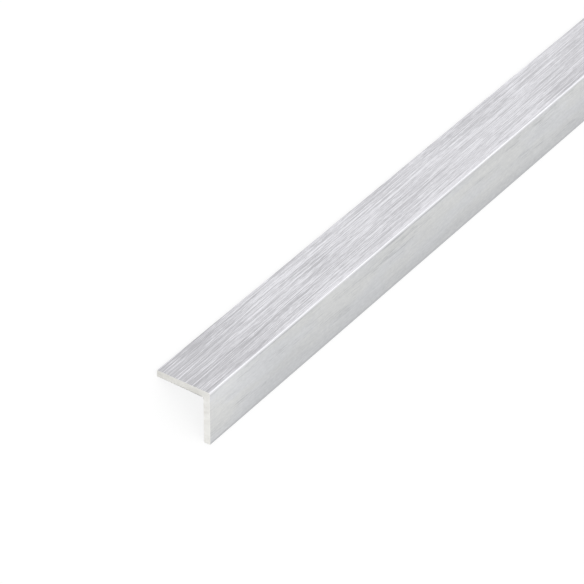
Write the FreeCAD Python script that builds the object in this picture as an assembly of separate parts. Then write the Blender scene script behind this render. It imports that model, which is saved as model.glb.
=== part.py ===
import FreeCAD, Part

import math
import os

# An equal-leg angle, extruded in one piece and sawn to a stock length. Sizes are in millimetres.
# It lies corner up, on the inner edges of its two legs. +Y runs along the stock and +Z is up.
# The origin is on the floor, under the corner and half way along.

leg_width = 25.0
wall_thickness = 3.0
stock_length = 1000.0

# Radii that the die leaves along the length
corner_radius = 0.5
fillet_radius = 1.0
tip_radius = 0.3

# The burr of the saw is filed off both ends at 45 degrees
end_chamfer = 0.2

# Directions in the section, from the corner down each leg
down_left = FreeCAD.Vector(-1, 0, -1).normalize()
down_right = FreeCAD.Vector(1, 0, -1).normalize()


def corner_height():
    """Height at which the two outer faces would meet, with the rounded inner tips on the floor."""
    tip_centre_drop = (leg_width + wall_thickness - 2 * tip_radius) / math.sqrt(2)
    return tip_centre_drop + tip_radius


def section_point(along_left, along_right):
    """A point at the near end, given by its distances from the sharp corner along each leg."""
    sharp_corner = FreeCAD.Vector(0, -stock_length / 2, corner_height())
    return sharp_corner + down_left * along_left + down_right * along_right


def rounded_outline(corners):
    """A closed wire through (point, radius) corners, each rounded by an arc tangent to both sides."""
    starts, arcs, ends = [], [], []
    for index, (point, radius) in enumerate(corners):
        before = (corners[index - 1][0] - point).normalize()
        after = (corners[(index + 1) % len(corners)][0] - point).normalize()
        half_angle = before.getAngle(after) / 2
        tangent_length = radius / math.tan(half_angle)
        bisector = (before + after).normalize()
        arc_middle = point + bisector * (radius / math.sin(half_angle) - radius)
        starts.append(point + before * tangent_length)
        ends.append(point + after * tangent_length)
        arcs.append(Part.Arc(starts[-1], arc_middle, ends[-1]).toShape())
    sides = [
        Part.LineSegment(ends[index - 1], starts[index]).toShape()
        for index in range(len(corners))
    ]
    edges = [edge for pair in zip(sides, arcs) for edge in pair]
    return Part.Wire(edges)


def make_section():
    """The L of the two legs, as a face at the near end."""
    corners = [
        (section_point(0, 0), corner_radius),
        (section_point(leg_width, 0), tip_radius),
        (section_point(leg_width, wall_thickness), tip_radius),
        (section_point(wall_thickness, wall_thickness), fillet_radius),
        (section_point(wall_thickness, leg_width), tip_radius),
        (section_point(0, leg_width), tip_radius),
    ]
    return Part.Face(rounded_outline(corners))


def make_angle_section():
    """The section run out along the stock, with both sawn ends deburred."""
    bar = make_section().extrude(FreeCAD.Vector(0, stock_length, 0))
    end_faces = [face for face in bar.Faces if face.BoundBox.YLength < end_chamfer]
    end_edges = [edge for face in end_faces for edge in face.Edges]
    return bar.makeChamfer(end_chamfer, end_edges)


os.makedirs("parts", exist_ok=True)
make_angle_section().exportStep("parts/angle_section.step")
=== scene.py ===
import math

import bmesh
import bpy
from mathutils import Matrix, Vector, noise


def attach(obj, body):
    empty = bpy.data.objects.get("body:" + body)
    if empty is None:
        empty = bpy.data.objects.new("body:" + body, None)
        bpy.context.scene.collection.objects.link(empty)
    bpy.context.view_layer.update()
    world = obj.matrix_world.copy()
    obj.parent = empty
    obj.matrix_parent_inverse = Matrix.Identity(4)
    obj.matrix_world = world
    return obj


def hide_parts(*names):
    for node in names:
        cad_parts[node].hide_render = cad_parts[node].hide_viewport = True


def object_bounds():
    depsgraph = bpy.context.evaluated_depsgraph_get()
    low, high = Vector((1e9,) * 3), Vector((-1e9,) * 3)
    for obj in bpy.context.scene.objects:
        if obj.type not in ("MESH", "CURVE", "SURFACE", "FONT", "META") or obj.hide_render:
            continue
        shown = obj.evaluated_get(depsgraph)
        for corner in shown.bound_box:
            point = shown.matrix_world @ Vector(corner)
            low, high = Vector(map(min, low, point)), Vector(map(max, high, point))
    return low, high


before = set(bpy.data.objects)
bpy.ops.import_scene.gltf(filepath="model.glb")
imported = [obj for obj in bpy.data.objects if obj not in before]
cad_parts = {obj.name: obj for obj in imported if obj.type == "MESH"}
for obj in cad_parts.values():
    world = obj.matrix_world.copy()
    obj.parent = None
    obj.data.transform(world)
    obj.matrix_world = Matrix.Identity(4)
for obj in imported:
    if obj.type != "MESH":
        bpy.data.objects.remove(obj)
cad_low, cad_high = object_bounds()

# An equal-leg aluminium angle lying corner up. +Y runs along the stock. All sizes are in metres.
MM = 0.001

# Sizes of the section
LEG_WIDTH = 25 * MM
WALL = 3 * MM
CORNER_RADIUS = 0.5 * MM
FILLET_RADIUS = 1.0 * MM
TIP_RADIUS = 0.3 * MM
END_CHAMFER = 0.2 * MM

# The height at which the two outer faces would meet, and where the stock starts and stops
CORNER_HEIGHT = cad_low.z + (LEG_WIDTH + WALL - 2 * TIP_RADIUS) / math.sqrt(2) + TIP_RADIUS
NEAR_END = cad_low.y
FAR_END = cad_high.y
STOCK_LENGTH = FAR_END - NEAR_END

# How finely the bar is drawn
CORNER_STEPS = 11
FILLET_STEPS = 8
TIP_STEPS = 5
FLAT_MARGIN = 0.15 * MM
STATION_GAP = 2 * MM

# The flat pattern that the bar's colours are baked on. The long faces are below, the ends above.
NARROWEST_STRIP = 0.25 * MM
SHORTEST_STRIP = 1 * MM
PATTERN_MARGIN = 0.005
LONG_FACES_TOP = 0.9
END_BOTTOM = 0.92
END_HEIGHT = 0.075
NEAR_END_MIDDLE = 0.25
FAR_END_MIDDLE = 0.75

# How much the corner is rubbed down by handling, and over what lengths that comes and goes
CORNER_RUB = 0.05 * MM
LEAST_RUB = 0.1
SLOW_RUB_LENGTH = 18 * MM
QUICK_RUB_LENGTH = SLOW_RUB_LENGTH / 4
SLOW_RUB_SEED = 3.7
QUICK_RUB_SEED = 9.1

# A small nick in the right leg, just under the corner
NICK_ALONG = NEAR_END + 126 * MM
NICK_HALF_LENGTH = 13 * MM
NICK_HALF_HEIGHT = 0.95 * MM
NICK_DOWN = CORNER_RADIUS + FLAT_MARGIN + NICK_HALF_HEIGHT
NICK_DEPTH = 0.12 * MM
NICK_STEPS = 8

# Where the dark line under the corner shows most
LONG_DARK_LINE_ALONG = NEAR_END + 156 * MM
SHORT_DARK_LINE_ALONG = NEAR_END + 55 * MM

# How far the brushing and the scuffs run off the line of the stock
BRUSH_DRIFT = math.tan(math.radians(0.45))
SCUFF_DRIFT = math.tan(math.radians(1))

# The finishes, in the order of the bar's material slots
SURFACES = ["brushed_face", "pressed_face", "inner_face", "corner_polish_and_highlight", "sawn_end"]

# The metal's colour on each of them, at its darkest and its palest
BRUSHED_DARK = (0.498, 0.495, 0.516)
BRUSHED_PALE = (0.862, 0.859, 0.895)
PRESSED_DARK = (0.477, 0.485, 0.497)
PRESSED_PALE_WARM = (0.718, 0.721, 0.71)
PRESSED_PALE_COOL = (0.707, 0.716, 0.732)
# PRESSED_HIGHLIGHT is a painted highlight: the corner's brightness spreading onto the right face
PRESSED_HIGHLIGHT = (0.8, 0.8, 0.828)
INNER_DARK = (0.478, 0.487, 0.497)
INNER_PALE = (0.73, 0.735, 0.738)
# The corner's colours are pale to paint its highlight; in part they stand for polish from rubbing
CORNER_DARK = (0.7, 0.7, 0.728)
CORNER_PALE = (0.9, 0.9, 0.935)
SAWN_DARK = (0.76, 0.75, 0.715)
SAWN_PALE = (0.965, 0.96, 0.932)

# The arcs that the saw left on both ends run round this point, half way along the stock
SAW_CENTRE = (120 * MM, 0.0, -60 * MM)

# The studio. The floor lights the bar as pale paper would, and is seen with a glow of its own.
WHITE = (1.0, 1.0, 1.0, 1.0)
WORLD_LIGHT = 0.8
WORLD_SEEN = 1.0
FLOOR_SIZE = 60.0
FLOOR_PAPER = (0.8, 0.8, 0.8, 1.0)
FLOOR_SHADED = (0.25, 0.25, 0.25, 1.0)
FLOOR_GLOW = 0.81
SOFTBOX_PLACE = (0.3, 1.3, 2.0)
SOFTBOX_SIZE = 1.8
SOFTBOX_POWER = 5

# Camera of the photograph: where it aims on the brushed face, and how it is held
AIM_ALONG = 71.1 * MM
AIM_ACROSS = 12 * MM
CAMERA_DISTANCE = 1.277
CAMERA_HEADING = math.radians(-8)
CAMERA_ELEVATION = math.radians(48.25)
CAMERA_ROLL = math.radians(60.74)
NEAREST_SEEN = 0.05
FARTHEST_SEEN = 200

# Its lens and its sensor, which Blender takes in millimetres
LENS_LENGTH = 200
SENSOR_WIDTH = 36


def place_in_frame(down_left, down_right):
    """The (x, z) of a section point, given by its distances from the sharp corner down each leg."""
    x = (down_right - down_left) / math.sqrt(2)
    z = CORNER_HEIGHT - (down_left + down_right) / math.sqrt(2)
    return x, z


class OutlinePoint:
    """A point of the section: its place down each leg, its inward normal, what part it is on, and
    its share of the wear of the corner and of the nick."""

    def __init__(self, place, inward, part, rub=0.0, nick=0.0):
        self.place = place
        self.inward = inward
        self.part = part
        self.rub = rub
        self.nick = nick

    def at(self, inset):
        """The point, moved into the metal by inset."""
        return place_in_frame(*(self.place + self.inward * inset))


def rounded_corner(point, side_in, side_out, radius, steps, part):
    """The arc that rounds one corner of the section, with a margin on the flat either side of it."""
    convex = side_in.x * side_out.y - side_in.y * side_out.x > 0
    centre = point + (side_out - side_in) * radius
    arc = []
    for step in range(steps + 1):
        angle = math.radians(90) * step / steps
        spoke = side_in * math.sin(angle) - side_out * math.cos(angle)
        inward = -spoke if convex else spoke
        rub = math.sin(2 * angle) if part == "corner" else 0.0
        arc.append(OutlinePoint(centre + spoke * radius, inward, part, rub))
    before = OutlinePoint(arc[0].place - side_in * FLAT_MARGIN, arc[0].inward, "flat")
    after = OutlinePoint(arc[-1].place + side_out * FLAT_MARGIN, arc[-1].inward, "flat")
    arc[-1].part = "flat"
    return [before, *arc, after]


def hill(place, middle, half_width):
    """1 at the middle, and smoothly down to 0 half a width to either side."""
    share = max(0.0, 1 - abs(place - middle) / half_width)
    return share * share * (3 - 2 * share)


def nicked_flat():
    """The points of the right leg just under the corner, where the nick is, from its lower edge up."""
    flat = []
    for step in range(NICK_STEPS):
        down = NICK_DOWN + NICK_HALF_HEIGHT * (1 - 2 * step / NICK_STEPS)
        nick = hill(down, NICK_DOWN, NICK_HALF_HEIGHT)
        flat.append(OutlinePoint(Vector((0, down)), Vector((1, 0)), "flat", nick=nick))
    return flat


def section_outline():
    """The points of the L: up the nicked stretch of the right leg to the outer corner, and then
    once round by way of the left leg."""
    corners = [
        ((0, 0), CORNER_RADIUS, CORNER_STEPS, "corner"),
        ((LEG_WIDTH, 0), TIP_RADIUS, TIP_STEPS, "tip"),
        ((LEG_WIDTH, WALL), TIP_RADIUS, TIP_STEPS, "tip"),
        ((WALL, WALL), FILLET_RADIUS, FILLET_STEPS, "fillet"),
        ((WALL, LEG_WIDTH), TIP_RADIUS, TIP_STEPS, "tip"),
        ((0, LEG_WIDTH), TIP_RADIUS, TIP_STEPS, "tip"),
    ]
    outline = nicked_flat()
    for index, (place, radius, steps, part) in enumerate(corners):
        point = Vector(place)
        side_in = (point - Vector(corners[index - 1][0])).normalized()
        side_out = (Vector(corners[(index + 1) % len(corners)][0]) - point).normalized()
        outline += rounded_corner(point, side_in, side_out, radius, steps, part)
    return outline


def stations():
    """The places along the stock where the section is drawn, each with its inset."""
    count = round(STOCK_LENGTH / STATION_GAP)
    first, last = NEAR_END + END_CHAMFER, FAR_END - END_CHAMFER
    middle = [(first + (last - first) * step / count, 0.0) for step in range(count + 1)]
    return [(NEAR_END, END_CHAMFER), *middle, (FAR_END, END_CHAMFER)]


def rub_at(along):
    """How far the corner is rubbed down at a place along the stock, at most 1."""
    slow = noise.noise(Vector((along / SLOW_RUB_LENGTH, SLOW_RUB_SEED, 0)))
    quick = noise.noise(Vector((along / QUICK_RUB_LENGTH, QUICK_RUB_SEED, 0)))
    return max(LEAST_RUB, min(1.0, 0.5 + slow + 0.3 * quick))


def surface_of(point, next_point):
    """Which finish the strip between two neighbouring points of the outline has."""
    if point.part == "corner":
        return "corner_polish_and_highlight"
    if max(point.place.y, next_point.place.y) < TIP_RADIUS:
        return "brushed_face"
    if max(point.place.x, next_point.place.x) < TIP_RADIUS:
        return "pressed_face"
    return "inner_face"


def with_next(ring):
    """Each thing of a closed ring, paired with the one after it."""
    return zip(ring, [*ring[1:], ring[0]])


def shares(steps):
    """Where each step starts, and where the last one ends, as shares of them all together."""
    marks = [0.0]
    for step in steps:
        marks.append(marks[-1] + step)
    return [mark / marks[-1] for mark in marks]


def pattern_shares(outline):
    """How the long sides share out the flat pattern: along the stock, and around the section."""
    places = [along for along, _ in stations()]
    lengths = [max(far - near, SHORTEST_STRIP) for near, far in zip(places, places[1:])]
    sides = with_next([point.place for point in outline])
    widths = [max((end - start).length, NARROWEST_STRIP) for start, end in sides]
    return shares(lengths), shares(widths)


def lay_strip(face, pattern, along, around):
    """Lays one small face of the long sides on the flat pattern, between two pairs of shares."""
    near, far = (PATTERN_MARGIN + (1 - 2 * PATTERN_MARGIN) * share for share in along)
    low, high = (PATTERN_MARGIN + (LONG_FACES_TOP - PATTERN_MARGIN) * share for share in around)
    places = ((near, low), (far, low), (far, high), (near, high))
    for loop, place in zip(face.loops, places):
        loop[pattern].uv = place


def lay_end(face, pattern, middle):
    """Lays one sawn end on the flat pattern, with its corner over the given place."""
    scale = END_HEIGHT / CORNER_HEIGHT
    for loop in face.loops:
        loop[pattern].uv = (middle + loop.vert.co.x * scale, END_BOTTOM + loop.vert.co.z * scale)


def draw_rings(mesh, outline):
    """The points of the section at each station, worn down and nicked."""
    rings = []
    for along, inset in stations():
        rub = CORNER_RUB * rub_at(along)
        nick = NICK_DEPTH * hill(along, NICK_ALONG, NICK_HALF_LENGTH)
        ring = []
        for point in outline:
            x, z = point.at(inset + rub * point.rub + nick * point.nick)
            ring.append(mesh.verts.new((x, along, z)))
        rings.append(ring)
    return rings


def draw_long_sides(mesh, pattern, outline, rings):
    """The faces between neighbouring rings. The first and the last were filed with the sawn ends."""
    along_shares, around_shares = pattern_shares(outline)
    count = len(outline)
    for step, (near, far) in enumerate(zip(rings, rings[1:])):
        filed = step in (0, len(rings) - 2)
        for index in range(count):
            after = (index + 1) % count
            face = mesh.faces.new((near[index], far[index], far[after], near[after]))
            face.smooth = True
            surface = "sawn_end" if filed else surface_of(outline[index], outline[after])
            face.material_index = SURFACES.index(surface)
            lay_strip(face, pattern, along_shares[step:step + 2], around_shares[index:index + 2])


def draw_ends(mesh, pattern, rings):
    """The two sawn ends, and the sharp edges of what was filed off round them."""
    for ring in (rings[0], rings[1], rings[-2], rings[-1]):
        for edge in with_next(ring):
            mesh.edges.get(edge).smooth = False
    ends = [mesh.faces.new(rings[0]), mesh.faces.new(list(reversed(rings[-1])))]
    for face, middle in zip(ends, (NEAR_END_MIDDLE, FAR_END_MIDDLE)):
        face.material_index = SURFACES.index("sawn_end")
        lay_end(face, pattern, middle)
    bmesh.ops.triangulate(mesh, faces=ends)


def add_to_scene(name, data):
    """A new object of the scene, made of a mesh, a lamp or a lens."""
    added = bpy.data.objects.new(name, data)
    bpy.context.scene.collection.objects.link(added)
    return added


def finished_mesh(name, mesh):
    """Blender's own mesh of the given name, from one that has been drawn."""
    data = bpy.data.meshes.new(name)
    mesh.to_mesh(data)
    mesh.free()
    return data


def build_bar():
    """The whole bar: the section swept along the stock, chamfered and closed at both ends."""
    mesh = bmesh.new()
    pattern = mesh.loops.layers.uv.new("OFBake")
    outline = section_outline()
    rings = draw_rings(mesh, outline)
    draw_long_sides(mesh, pattern, outline, rings)
    draw_ends(mesh, pattern, rings)
    bmesh.ops.recalc_face_normals(mesh, faces=mesh.faces)
    return add_to_scene("brushed_angle", finished_mesh("brushed_angle", mesh))


class Value:
    """A number that varies over a surface, and is added, multiplied and so on as a plain one is."""

    def __init__(self, finish, socket):
        self.finish = finish
        self.socket = socket

    def maths(self, operation, first, second=0.0):
        """What one Math node makes of its two inputs."""
        return self.finish.value("ShaderNodeMath", {"operation": operation}, {0: first, 1: second})

    def __add__(self, other):
        return self.maths("ADD", self, other)

    def __radd__(self, other):
        return self.maths("ADD", other, self)

    def __sub__(self, other):
        return self.maths("SUBTRACT", self, other)

    def __rsub__(self, other):
        return self.maths("SUBTRACT", other, self)

    def __mul__(self, other):
        return self.maths("MULTIPLY", self, other)

    def __rmul__(self, other):
        return self.maths("MULTIPLY", other, self)

    def __truediv__(self, other):
        return self.maths("DIVIDE", self, other)

    def __abs__(self):
        return self.maths("ABSOLUTE", self)

    def or_more(self, other):
        """The larger of the two."""
        return self.maths("MAXIMUM", self, other)


class Finish:
    """The nodes of one surface finish, or of the world."""

    def __init__(self, tree):
        self.tree = tree
        tree.nodes.clear()

    def node(self, kind, settings=None, sockets=None):
        """Any node: its type, its settings, and the values or links of its sockets."""
        node = self.tree.nodes.new(kind)
        for name, setting in (settings or {}).items():
            setattr(node, name, setting)
        for name, value in (sockets or {}).items():
            source = value.socket if isinstance(value, Value) else value
            if isinstance(source, bpy.types.NodeSocket):
                self.tree.links.new(source, node.inputs[name])
            else:
                node.inputs[name].default_value = source
        return node

    def value(self, kind, settings=None, sockets=None, output=0):
        """The number that a node gives."""
        return Value(self, self.node(kind, settings, sockets).outputs[output])

    def ease(self, value, low, high):
        """0 where value is under low, 1 where it is over high, and smooth between them."""
        sockets = {"Value": value, "From Min": low, "From Max": high}
        return self.value("ShaderNodeMapRange", {"interpolation_type": "SMOOTHSTEP"}, sockets)

    def line(self, value, centre, half_width):
        """1 where value is at the centre, and down to 0 half a width to either side."""
        return 1 - self.ease(abs(value - centre), 0.0, half_width)

    def noise(self, x, y, seed, detail=2.0):
        """Smooth random hills, one unit across, from -0.5 to 0.5."""
        place = self.node("ShaderNodeCombineXYZ", {}, {"X": x, "Y": y, "Z": seed}).outputs[0]
        sockets = {"Vector": place, "Scale": 1.0, "Detail": detail, "Roughness": 0.5}
        return self.value("ShaderNodeTexNoise", {}, sockets) - 0.5

    def grain(self, across, along, width, length, seed, detail=2.0):
        """Such hills, of the given width across and length along."""
        return self.noise(across / width, along / length, seed, detail)

    def mix_colours(self, share, first, second):
        """From the first colour to the second as share goes from 0 to 1. Either may be a mix too."""
        first, second = (
            (*colour, 1.0) if isinstance(colour, tuple) else colour for colour in (first, second)
        )
        sockets = {0: share, 6: first, 7: second}
        return self.node("ShaderNodeMix", {"data_type": "RGBA"}, sockets).outputs[2]


class Place:
    """Where a point of the bar is: along the stock, and down each leg from the sharp corner."""

    def __init__(self, finish):
        self.vector = finish.node("ShaderNodeTexCoord").outputs["Object"]
        axes = finish.node("ShaderNodeSeparateXYZ", {}, {0: self.vector})
        x, self.along, z = (Value(finish, output) for output in axes.outputs)
        drop = CORNER_HEIGHT - z
        self.down_left = (drop - x) / math.sqrt(2)
        self.down_right = (drop + x) / math.sqrt(2)


def new_finish(name):
    """A material with the given name, and its nodes."""
    material = bpy.data.materials.new(name)
    material.use_nodes = True
    return material, Finish(material.node_tree)


def set_surface(finish, colour, roughness, height, depth, metallic=1.0):
    """The metal itself: its colour, its polish and the relief of its lines."""
    bump = finish.node("ShaderNodeBump", {}, {"Distance": depth, "Height": height})
    sockets = {
        "Base Color": colour,
        "Metallic": metallic,
        "Roughness": roughness,
        "Normal": bump.outputs[0],
    }
    shader = finish.node("ShaderNodeBsdfPrincipled", {}, sockets)
    finish.node("ShaderNodeOutputMaterial", {}, {"Surface": shader.outputs[0]})


def brushed_face():
    """The left outer face: belt brushing along the stock, a little off its line."""
    material, finish = new_finish("brushed_face")
    place = Place(finish)
    along = place.along
    across = place.down_left - along * BRUSH_DRIFT

    long_lines = finish.grain(across, along, width=0.27 * MM, length=100 * MM, seed=1.3, detail=4.0)
    scratches = finish.grain(across, along, width=0.24 * MM, length=28 * MM, seed=4.1, detail=4.0)
    flecks = finish.grain(across, along, width=0.25 * MM, length=4.5 * MM, seed=7.9)
    bands = finish.grain(across, along, width=1.3 * MM, length=50 * MM, seed=11.2)
    glints = finish.grain(across, along, width=0.36 * MM, length=24 * MM, seed=13.8)
    bright = finish.ease(glints, 0.05, 0.3)
    lines = long_lines + 1.2 * scratches + 0.7 * flecks + 0.35 * bands + 0.8 * bright

    # Dark by the sawn ends. The lines bite deepest a little way in.
    from_the_end = STOCK_LENGTH / 2 - abs(along)
    clear_of_the_end = finish.ease(from_the_end, 0.0, 80 * MM)
    bite = 0.62 + 0.66 * finish.ease(from_the_end, 0.0, 60 * MM)
    contrast = bite - 0.38 * finish.ease(from_the_end, 100 * MM, 330 * MM)

    # Pale in a band of uneven width by the corner: a painted sheen beside the corner's highlight
    clouds = finish.grain(across, along, width=12 * MM, length=90 * MM, seed=27.3, detail=1.0)
    reach = 1.2 * MM + 2.0 * MM * finish.ease(clouds + 0.5 * bands, -0.15, 0.2)
    highlight_sheen = 1 - finish.ease(place.down_left, 0.4 * MM, reach)

    scored = contrast * lines
    shade = 0.17 + 0.33 * clear_of_the_end + 0.5 * clouds + 0.25 * highlight_sheen + 1.85 * scored + 2.4 * scored * scored
    colour = finish.mix_colours(shade, BRUSHED_DARK, BRUSHED_PALE)
    set_surface(finish, colour, roughness=0.4 - 0.25 * lines, height=lines, depth=0.02 * MM)
    return material


def pressed_face():
    """The right outer face: smooth as it left the die, with painted shade darker towards its lower
    edge.
    """
    material, finish = new_finish("pressed_face")
    place = Place(finish)
    along = place.along
    across = place.down_right

    clouds = finish.grain(across, along, width=5.5 * MM, length=45 * MM, seed=15.5)
    tints = finish.grain(across, along, width=9 * MM, length=40 * MM, seed=22.7)
    die_lines = finish.grain(across, along, width=0.9 * MM, length=500 * MM, seed=8.3)
    mottle = finish.grain(across, along, width=0.8 * MM, length=2.0 * MM, seed=10.6)

    # Thin dark hairs lie in groups where the stock was scuffed, more by the corner and the nick
    slanted = across - along * SCUFF_DRIFT
    hairs = finish.grain(slanted, along, width=0.36 * MM, length=11 * MM, seed=5.5)
    groups = finish.grain(across, along, width=5 * MM, length=24 * MM, seed=12.4)
    by_the_corner = finish.line(across, centre=6 * MM, half_width=8 * MM)
    below_the_nick = finish.line(across, centre=6.5 * MM, half_width=5 * MM)
    by_the_nick = below_the_nick * finish.line(along, centre=NICK_ALONG, half_width=34 * MM)
    scuffed = finish.ease(groups + 0.1 * by_the_corner + 0.2 * by_the_nick, 0.03, 0.2)
    scuffs = finish.ease(hairs, -0.02, 0.2) * scuffed
    lines = 0.3 * die_lines + 0.55 * mottle - 0.55 * scuffs

    # Painted shade makes it darker lower down. It is dark along its last millimetre, and paler by the
    # sawn ends
    lower_painted_shade = finish.ease(across + 5 * MM * clouds, 5 * MM, LEG_WIDTH + 1 * MM)
    edge = finish.ease(across, LEG_WIDTH - 1.6 * MM, LEG_WIDTH - 0.7 * MM)
    by_the_end = 1 - finish.ease(STOCK_LENGTH / 2 - abs(along), 5 * MM, 45 * MM)
    face = 0.62 - 0.4 * lower_painted_shade - 0.55 * edge + 0.27 * by_the_end + 0.55 * clouds

    # The dark line under the highlighted corner comes and goes
    comes_and_goes = finish.noise(along / (45 * MM), 0.0, seed=3.4)
    long_run = finish.line(along, centre=LONG_DARK_LINE_ALONG, half_width=26 * MM)
    short_run = finish.line(along, centre=SHORT_DARK_LINE_ALONG, half_width=22 * MM)
    depth = 0.25 * finish.ease(comes_and_goes, -0.1, 0.15) + 0.6 * long_run + 0.35 * short_run
    under_corner_line = finish.line(across, centre=1.3 * MM, half_width=0.9 * MM) * depth

    # Darker in the nick
    nick_run = finish.line(along, centre=NICK_ALONG, half_width=NICK_HALF_LENGTH)
    nick = nick_run * finish.line(across, centre=NICK_DOWN, half_width=NICK_HALF_HEIGHT)

    pale = finish.mix_colours(finish.ease(tints, -0.12, 0.12), PRESSED_PALE_WARM, PRESSED_PALE_COOL)
    metal = finish.mix_colours(face + lines - under_corner_line - nick, PRESSED_DARK, pale)
    # The corner's painted highlight spreads onto the top of this face
    highlight_spill = 1 - finish.ease(across - 0.5 * MM * comes_and_goes, 0.6 * MM, 1.1 * MM)
    colour = finish.mix_colours(highlight_spill, metal, PRESSED_HIGHLIGHT)
    set_surface(finish, colour, roughness=0.34 - 0.2 * lines, height=lines, depth=0.01 * MM)
    return material


def inner_face():
    """The inner faces and the tips: plain, with the long lines of the die."""
    material, finish = new_finish("inner_face")
    place = Place(finish)
    along = place.along
    across = place.down_right - place.down_left

    clouds = finish.grain(across, along, width=9 * MM, length=70 * MM, seed=6.2, detail=3.0)
    die_lines = finish.grain(across, along, width=0.9 * MM, length=600 * MM, seed=9.7, detail=3.0)
    shade = 0.5 + 0.4 * clouds + 0.6 * die_lines
    colour = finish.mix_colours(shade, INNER_DARK, INNER_PALE)
    set_surface(finish, colour, roughness=0.38 - 0.2 * die_lines, height=die_lines, depth=0.015 * MM)
    return material


def corner_polish_and_highlight():
    """The rounded outer corner: bright in colour to paint its highlight, and in part for polish from
    rubbing.
    """
    material, finish = new_finish("corner_polish_and_highlight")
    place = Place(finish)
    along = place.along
    across = place.down_right - place.down_left

    rub = finish.grain(across, along, width=0.5 * MM, length=22 * MM, seed=8.8, detail=3.0)
    highlight_varies = finish.grain(across, along, width=5 * MM, length=45 * MM, seed=12.6, detail=1.0)
    # Its brightness is a painted highlight that varies along the stock
    shade = 0.5 + 0.9 * rub + 0.9 * highlight_varies
    colour = finish.mix_colours(shade, CORNER_DARK, CORNER_PALE)
    set_surface(finish, colour, roughness=0.3 - 0.2 * rub, height=rub, depth=0.01 * MM)
    return material


def sawn_end():
    """The two ends: matt, with the fine arcs that the saw blade left."""
    material, finish = new_finish("sawn_end")
    place = Place(finish)
    sockets = {0: place.vector, 1: SAW_CENTRE}
    from_centre = finish.value("ShaderNodeVectorMath", {"operation": "DISTANCE"}, sockets, output=1)

    marks = finish.noise(from_centre / (0.7 * MM), 0.0, seed=2.5, detail=4.0)
    patches = finish.grain(
        place.down_left, place.down_right, width=3 * MM, length=3 * MM, seed=6.1, detail=3.0
    )
    left_leg = finish.ease(place.down_left, 2 * MM, 7 * MM)
    shade = 0.72 - 0.4 * left_leg + 0.7 * patches + 1.1 * marks
    colour = finish.mix_colours(shade, SAWN_DARK, SAWN_PALE)
    rough = 0.55 - 0.2 * marks
    set_surface(finish, colour, roughness=rough, height=marks, depth=0.02 * MM, metallic=0.8)
    return material


def lit_or_seen(finish, lit, seen):
    """Shows the second shader to rays from the camera, and to those that a mirror or glass sends
    on. The first gives the light that falls on things."""
    path = finish.node("ShaderNodeLightPath")
    camera, glossy, clear = (
        Value(finish, path.outputs[name])
        for name in ("Is Camera Ray", "Is Glossy Ray", "Is Transmission Ray")
    )
    sockets = {0: camera.or_more(glossy.or_more(clear)), 1: lit.outputs[0], 2: seen.outputs[0]}
    return finish.node("ShaderNodeMixShader", {}, sockets)


def make_floor():
    """A plain floor. It keeps a faint shadow, and light of its own makes the rest of it white."""
    mesh = bmesh.new()
    bmesh.ops.create_grid(mesh, x_segments=1, y_segments=1, size=FLOOR_SIZE / 2)
    floor = add_to_scene("floor", finished_mesh("floor", mesh))
    floor.location.z = cad_low.z
    material, finish = new_finish("floor_white")
    paper = finish.node("ShaderNodeBsdfDiffuse", {}, {"Color": FLOOR_PAPER})
    shaded = finish.node("ShaderNodeBsdfDiffuse", {}, {"Color": FLOOR_SHADED})
    glow = finish.node("ShaderNodeEmission", {}, {"Strength": FLOOR_GLOW})
    shown = finish.node("ShaderNodeAddShader", {}, {0: shaded.outputs[0], 1: glow.outputs[0]})
    both = lit_or_seen(finish, paper, shown)
    finish.node("ShaderNodeOutputMaterial", {}, {"Surface": both.outputs[0]})
    floor.data.materials.append(material)


def make_world():
    """Even white light from all round, which the camera and the metal see as plain white."""
    world = bpy.data.worlds.new("studio")
    world.use_nodes = True
    bpy.context.scene.world = world
    finish = Finish(world.node_tree)
    light = finish.node("ShaderNodeBackground", {}, {"Color": WHITE, "Strength": WORLD_LIGHT})
    white = finish.node("ShaderNodeBackground", {}, {"Color": WHITE, "Strength": WORLD_SEEN})
    both = lit_or_seen(finish, light, white)
    finish.node("ShaderNodeOutputWorld", {}, {"Surface": both.outputs[0]})


def make_softbox():
    """A large soft lamp above and beyond the bar, which the rounded corner mirrors."""
    lamp = bpy.data.lights.new("softbox", "AREA")
    lamp.shape = "SQUARE"
    lamp.size = SOFTBOX_SIZE
    lamp.energy = SOFTBOX_POWER
    softbox = add_to_scene("softbox", lamp)
    softbox.location = SOFTBOX_PLACE
    aim = Vector((0, NEAR_END, 0))
    softbox.rotation_euler = (aim - softbox.location).to_track_quat("-Z", "Y").to_euler()


def make_camera():
    """The photograph's view: down on the near end, turned so that the stock runs up to the right."""
    lens = bpy.data.cameras.new("camera")
    lens.lens = LENS_LENGTH
    lens.sensor_width = SENSOR_WIDTH
    lens.clip_start = NEAREST_SEEN
    lens.clip_end = FARTHEST_SEEN
    camera = add_to_scene("camera", lens)
    x, z = place_in_frame(AIM_ACROSS, 0)
    aim = Vector((x, NEAR_END + AIM_ALONG, z))
    turn = (
        Matrix.Rotation(CAMERA_HEADING, 3, "Z")
        @ Matrix.Rotation(math.radians(90) - CAMERA_ELEVATION, 3, "X")
        @ Matrix.Rotation(CAMERA_ROLL, 3, "Z")
    )
    camera.location = aim + turn @ Vector((0, 0, CAMERA_DISTANCE))
    camera.rotation_euler = turn.to_euler()
    bpy.context.scene.camera = camera


bar = build_bar()
for make_finish in (brushed_face, pressed_face, inner_face, corner_polish_and_highlight, sawn_end):
    bar.data.materials.append(make_finish())
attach(bar, "root")
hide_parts("angle_section")

make_floor()
make_world()
make_softbox()
make_camera()
bpy.context.scene.view_settings.view_transform = "Standard"
